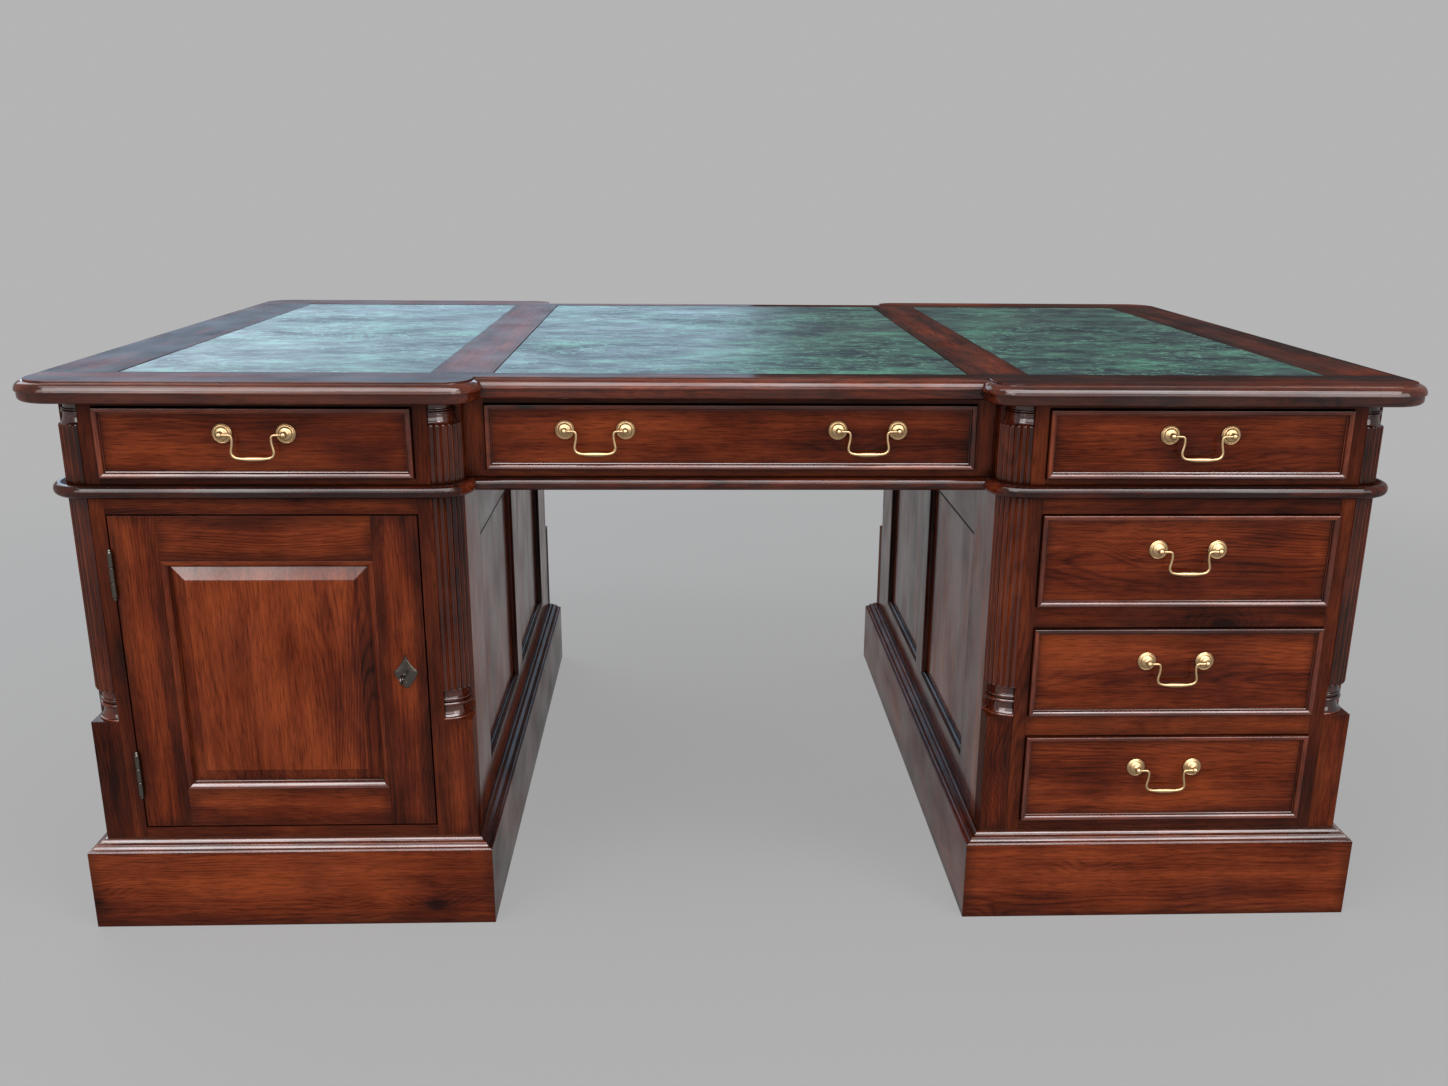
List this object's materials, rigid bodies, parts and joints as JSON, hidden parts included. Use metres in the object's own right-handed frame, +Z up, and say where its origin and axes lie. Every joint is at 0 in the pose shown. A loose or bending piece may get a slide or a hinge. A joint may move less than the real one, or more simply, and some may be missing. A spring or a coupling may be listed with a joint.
{
  "type": "partners desk",
  "caption": "Breakfront partners desk with a leather-inset top, frieze drawers, and pedestals with drawers and cupboards on both long sides, fluted corner columns and plinths.",
  "frame": {"origin": "on the floor under the middle of the desk", "axes": "+X along the desk to the right of the first partner, +Y from the first partner to the second, +Z up"},
  "size_m": [1.85, 1.22, 0.78],
  "materials": {
    "mahogany": "satin polished reddish-brown mahogany",
    "carcase_timber": "plain unpolished hardwood",
    "leather": "mottled green writing leather",
    "brass": "satin antique brass",
    "dark_steel": "dark worn steel"
  },
  "bodies": {
    "desk": {"top_frame": "mahogany", "top_boards": "carcase_timber", "leather_insets": "leather", "waist_moulding": "mahogany", "quarter_columns": "mahogany", "frieze_frame": "mahogany", "pedestal_side_frames": "mahogany", "pedestal_side_panels": "mahogany", "side_panel_mouldings": "mahogany", "pedestal_face_frames": "mahogany", "carcase_boards": "carcase_timber", "drawer_runners": "carcase_timber", "plinths": "mahogany", "fixed_hinge_leaves": "dark_steel"},
    "front_left_frieze_drawer": {"front_left_frieze_drawer": "mahogany", "front_left_frieze_pull": "brass"},
    "front_left_frieze_bail": {"front_left_frieze_bail": "brass"},
    "front_right_frieze_drawer": {"front_right_frieze_drawer": "mahogany", "front_right_frieze_pull": "brass"},
    "front_right_frieze_bail": {"front_right_frieze_bail": "brass"},
    "front_centre_drawer": {"front_centre_drawer": "mahogany", "front_centre_pull": "brass"},
    "front_centre_left_bail": {"front_centre_left_bail": "brass"},
    "front_centre_right_bail": {"front_centre_right_bail": "brass"},
    "front_lower_drawer": {"front_lower_drawer": "mahogany", "front_lower_pull": "brass"},
    "front_lower_bail": {"front_lower_bail": "brass"},
    "front_middle_drawer": {"front_middle_drawer": "mahogany", "front_middle_pull": "brass"},
    "front_middle_bail": {"front_middle_bail": "brass"},
    "front_upper_drawer": {"front_upper_drawer": "mahogany", "front_upper_pull": "brass"},
    "front_upper_bail": {"front_upper_bail": "brass"},
    "front_door": {"front_door": "mahogany", "front_door_fittings": "dark_steel"},
    "front_door_bolt": {"front_door_bolt": "dark_steel"},
    "front_door_key": {"front_door_key": "dark_steel"},
    "back_left_frieze_drawer": {"back_left_frieze_drawer": "mahogany", "back_left_frieze_pull": "brass"},
    "back_left_frieze_bail": {"back_left_frieze_bail": "brass"},
    "back_right_frieze_drawer": {"back_right_frieze_drawer": "mahogany", "back_right_frieze_pull": "brass"},
    "back_right_frieze_bail": {"back_right_frieze_bail": "brass"},
    "back_centre_drawer": {"back_centre_drawer": "mahogany", "back_centre_pull": "brass"},
    "back_centre_left_bail": {"back_centre_left_bail": "brass"},
    "back_centre_right_bail": {"back_centre_right_bail": "brass"},
    "back_lower_drawer": {"back_lower_drawer": "mahogany", "back_lower_pull": "brass"},
    "back_lower_bail": {"back_lower_bail": "brass"},
    "back_middle_drawer": {"back_middle_drawer": "mahogany", "back_middle_pull": "brass"},
    "back_middle_bail": {"back_middle_bail": "brass"},
    "back_upper_drawer": {"back_upper_drawer": "mahogany", "back_upper_pull": "brass"},
    "back_upper_bail": {"back_upper_bail": "brass"},
    "back_door": {"back_door": "mahogany", "back_door_fittings": "dark_steel"},
    "back_door_bolt": {"back_door_bolt": "dark_steel"},
    "back_door_key": {"back_door_key": "dark_steel"}
  },
  "joints": [
    {"name": "front_left_frieze_drawer_slide", "type": "slide", "parent": "desk", "child": "front_left_frieze_drawer", "axis": [0, -1, 0], "range_m": [0, 0.38]},
    {"name": "front_left_frieze_bail_hinge", "type": "hinge", "parent": "front_left_frieze_drawer", "child": "front_left_frieze_bail", "pos_m": [-0.624, -0.58, 0.709], "axis": [-1, 0, 0], "range_deg": [-18, 170]},
    {"name": "front_right_frieze_drawer_slide", "type": "slide", "parent": "desk", "child": "front_right_frieze_drawer", "axis": [0, -1, 0], "range_m": [0, 0.38]},
    {"name": "front_right_frieze_bail_hinge", "type": "hinge", "parent": "front_right_frieze_drawer", "child": "front_right_frieze_bail", "pos_m": [0.624, -0.58, 0.709], "axis": [-1, 0, 0], "range_deg": [-18, 170]},
    {"name": "front_centre_drawer_slide", "type": "slide", "parent": "desk", "child": "front_centre_drawer", "axis": [0, -1, 0], "range_m": [0, 0.325]},
    {"name": "front_centre_left_bail_hinge", "type": "hinge", "parent": "front_centre_drawer", "child": "front_centre_left_bail", "pos_m": [-0.185, -0.525, 0.705], "axis": [-1, 0, 0], "range_deg": [-18, 170]},
    {"name": "front_centre_right_bail_hinge", "type": "hinge", "parent": "front_centre_drawer", "child": "front_centre_right_bail", "pos_m": [0.185, -0.525, 0.705], "axis": [-1, 0, 0], "range_deg": [-18, 170]},
    {"name": "front_lower_drawer_slide", "type": "slide", "parent": "desk", "child": "front_lower_drawer", "axis": [0, -1, 0], "range_m": [0, 0.38]},
    {"name": "front_lower_bail_hinge", "type": "hinge", "parent": "front_lower_drawer", "child": "front_lower_bail", "pos_m": [0.624, -0.58, 0.22783], "axis": [-1, 0, 0], "range_deg": [-18, 170]},
    {"name": "front_middle_drawer_slide", "type": "slide", "parent": "desk", "child": "front_middle_drawer", "axis": [0, -1, 0], "range_m": [0, 0.38]},
    {"name": "front_middle_bail_hinge", "type": "hinge", "parent": "front_middle_drawer", "child": "front_middle_bail", "pos_m": [0.624, -0.58, 0.3895], "axis": [-1, 0, 0], "range_deg": [-18, 170]},
    {"name": "front_upper_drawer_slide", "type": "slide", "parent": "desk", "child": "front_upper_drawer", "axis": [0, -1, 0], "range_m": [0, 0.38]},
    {"name": "front_upper_bail_hinge", "type": "hinge", "parent": "front_upper_drawer", "child": "front_upper_bail", "pos_m": [0.624, -0.58, 0.55117], "axis": [-1, 0, 0], "range_deg": [-18, 170]},
    {"name": "front_door_hinge", "type": "hinge", "parent": "desk", "child": "front_door", "pos_m": [-0.828, -0.5703, 0.3735], "axis": [0, 0, -1], "range_deg": [0, 170]},
    {"name": "front_door_key_turn", "type": "hinge", "parent": "front_door", "child": "front_door_key", "pos_m": [-0.449, -0.566, 0.379], "axis": [0, 1, 0], "range_deg": [0, 90]},
    {"name": "front_door_bolt_slide", "type": "slide", "parent": "front_door", "child": "front_door_bolt", "axis": [1, 0, 0], "range_m": [0, 0.014]},
    {"name": "back_left_frieze_drawer_slide", "type": "slide", "parent": "desk", "child": "back_left_frieze_drawer", "axis": [0, 1, 0], "range_m": [0, 0.38]},
    {"name": "back_left_frieze_bail_hinge", "type": "hinge", "parent": "back_left_frieze_drawer", "child": "back_left_frieze_bail", "pos_m": [0.624, 0.58, 0.709], "axis": [1, 0, 0], "range_deg": [-18, 170]},
    {"name": "back_right_frieze_drawer_slide", "type": "slide", "parent": "desk", "child": "back_right_frieze_drawer", "axis": [0, 1, 0], "range_m": [0, 0.38]},
    {"name": "back_right_frieze_bail_hinge", "type": "hinge", "parent": "back_right_frieze_drawer", "child": "back_right_frieze_bail", "pos_m": [-0.624, 0.58, 0.709], "axis": [1, 0, 0], "range_deg": [-18, 170]},
    {"name": "back_centre_drawer_slide", "type": "slide", "parent": "desk", "child": "back_centre_drawer", "axis": [0, 1, 0], "range_m": [0, 0.325]},
    {"name": "back_centre_left_bail_hinge", "type": "hinge", "parent": "back_centre_drawer", "child": "back_centre_left_bail", "pos_m": [0.185, 0.525, 0.705], "axis": [1, 0, 0], "range_deg": [-18, 170]},
    {"name": "back_centre_right_bail_hinge", "type": "hinge", "parent": "back_centre_drawer", "child": "back_centre_right_bail", "pos_m": [-0.185, 0.525, 0.705], "axis": [1, 0, 0], "range_deg": [-18, 170]},
    {"name": "back_lower_drawer_slide", "type": "slide", "parent": "desk", "child": "back_lower_drawer", "axis": [0, 1, 0], "range_m": [0, 0.38]},
    {"name": "back_lower_bail_hinge", "type": "hinge", "parent": "back_lower_drawer", "child": "back_lower_bail", "pos_m": [-0.624, 0.58, 0.22783], "axis": [1, 0, 0], "range_deg": [-18, 170]},
    {"name": "back_middle_drawer_slide", "type": "slide", "parent": "desk", "child": "back_middle_drawer", "axis": [0, 1, 0], "range_m": [0, 0.38]},
    {"name": "back_middle_bail_hinge", "type": "hinge", "parent": "back_middle_drawer", "child": "back_middle_bail", "pos_m": [-0.624, 0.58, 0.3895], "axis": [1, 0, 0], "range_deg": [-18, 170]},
    {"name": "back_upper_drawer_slide", "type": "slide", "parent": "desk", "child": "back_upper_drawer", "axis": [0, 1, 0], "range_m": [0, 0.38]},
    {"name": "back_upper_bail_hinge", "type": "hinge", "parent": "back_upper_drawer", "child": "back_upper_bail", "pos_m": [-0.624, 0.58, 0.55117], "axis": [1, 0, 0], "range_deg": [-18, 170]},
    {"name": "back_door_hinge", "type": "hinge", "parent": "desk", "child": "back_door", "pos_m": [0.828, 0.5703, 0.3735], "axis": [0, 0, -1], "range_deg": [0, 170]},
    {"name": "back_door_key_turn", "type": "hinge", "parent": "back_door", "child": "back_door_key", "pos_m": [0.449, 0.566, 0.379], "axis": [0, -1, 0], "range_deg": [0, 90]},
    {"name": "back_door_bolt_slide", "type": "slide", "parent": "back_door", "child": "back_door_bolt", "axis": [-1, 0, 0], "range_m": [0, 0.014]}
  ],
  "couplings": [
    {"joint": "front_door_key_turn", "follows": "front_door_bolt_slide", "rad_per_m": 112.19},
    {"joint": "back_door_key_turn", "follows": "back_door_bolt_slide", "rad_per_m": 112.19}
  ]
}
